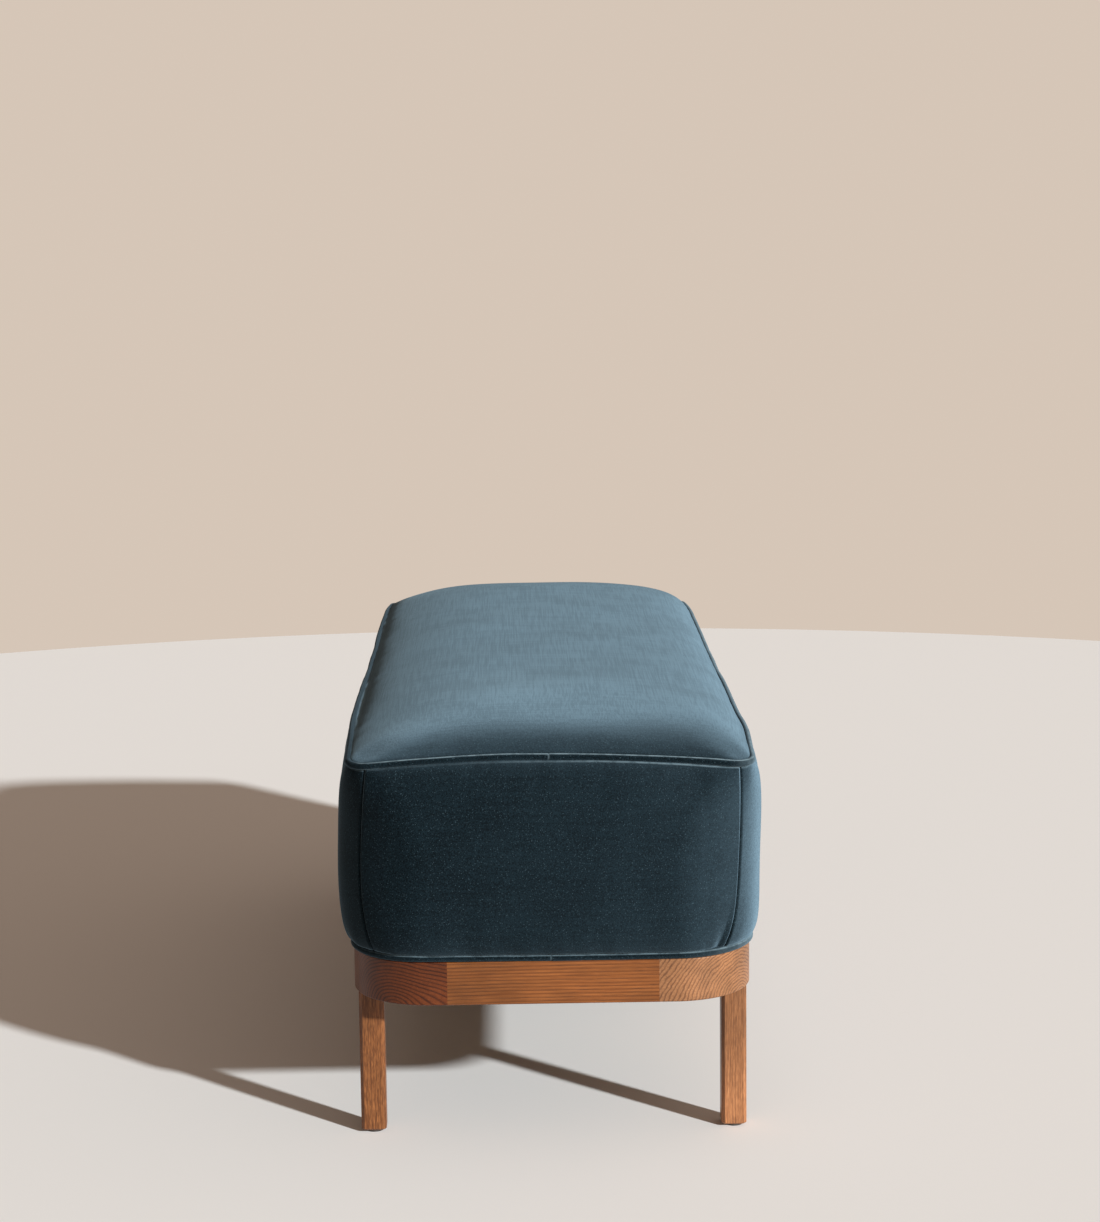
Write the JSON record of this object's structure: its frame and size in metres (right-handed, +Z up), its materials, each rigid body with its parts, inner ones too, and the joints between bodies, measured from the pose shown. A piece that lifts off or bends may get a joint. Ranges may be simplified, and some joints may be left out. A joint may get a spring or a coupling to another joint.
{
  "type": "upholstered bench",
  "caption": "Long low bench for sitting: a crowned velvet seat with piped seams on a rounded wooden plinth and square legs.",
  "frame": {"origin": "on the floor under the middle of the bench", "axes": "+X to the right seen from the front end, +Y along the bench away from the front end, +Z up"},
  "size_m": [0.4608, 1.2108, 0.4651],
  "materials": {
    "stained_wood": "satin, oil stained, open grain",
    "softwood": "sawn and planed, bare",
    "dowel_wood": "fluted beech, bare",
    "steel": "zinc plated",
    "glide_plastic": "moulded, matt",
    "velvet": "cotton velvet, short pile with a soft sheen",
    "foam": "cut polyurethane foam",
    "wadding": "bonded polyester wadding",
    "webbing": "elastic woven webbing",
    "deck_cloth": "woven hessian",
    "dust_cloth": "spun black cloth, matt"
  },
  "bodies": {
    "root": {"end_rail_front": "stained_wood", "end_rail_back": "stained_wood", "side_rail_left": "stained_wood", "side_rail_right": "stained_wood", "corner_block_front_left": "stained_wood", "corner_block_front_right": "stained_wood", "corner_block_back_left": "stained_wood", "corner_block_back_right": "stained_wood", "leg_front_left": "stained_wood", "leg_front_right": "stained_wood", "leg_back_left": "stained_wood", "leg_back_right": "stained_wood", "cross_rail_front": "softwood", "cross_rail_back": "softwood", "seat_end_rail_front": "softwood", "seat_end_rail_back": "softwood", "seat_side_rail_left": "softwood", "seat_side_rail_right": "softwood", "seat_post_front_left": "softwood", "seat_post_front_right": "softwood", "seat_post_back_left": "softwood", "seat_post_back_right": "softwood", "seat_cross_rail_front": "softwood", "seat_cross_rail_back": "softwood", "plinth_dowels": "dowel_wood", "seat_frame_dowels": "dowel_wood", "frame_screws": "steel", "leg_bolts": "steel", "leg_inserts": "steel", "glide_front_left": "glide_plastic", "glide_front_right": "glide_plastic", "glide_back_left": "glide_plastic", "glide_back_right": "glide_plastic", "cover_top": "velvet", "cover_end_front": "velvet", "cover_end_back": "velvet", "cover_side_left": "velvet", "cover_side_right": "velvet", "piping_top": "velvet", "piping_bottom": "velvet", "foam_core": "foam", "end_foam_front": "foam", "end_foam_back": "foam", "side_foam_left": "foam", "side_foam_right": "foam", "wadding": "wadding", "webbing_straps": "webbing", "deck_cloth": "deck_cloth", "dust_cover": "dust_cloth"}
  },
  "joints": []
}
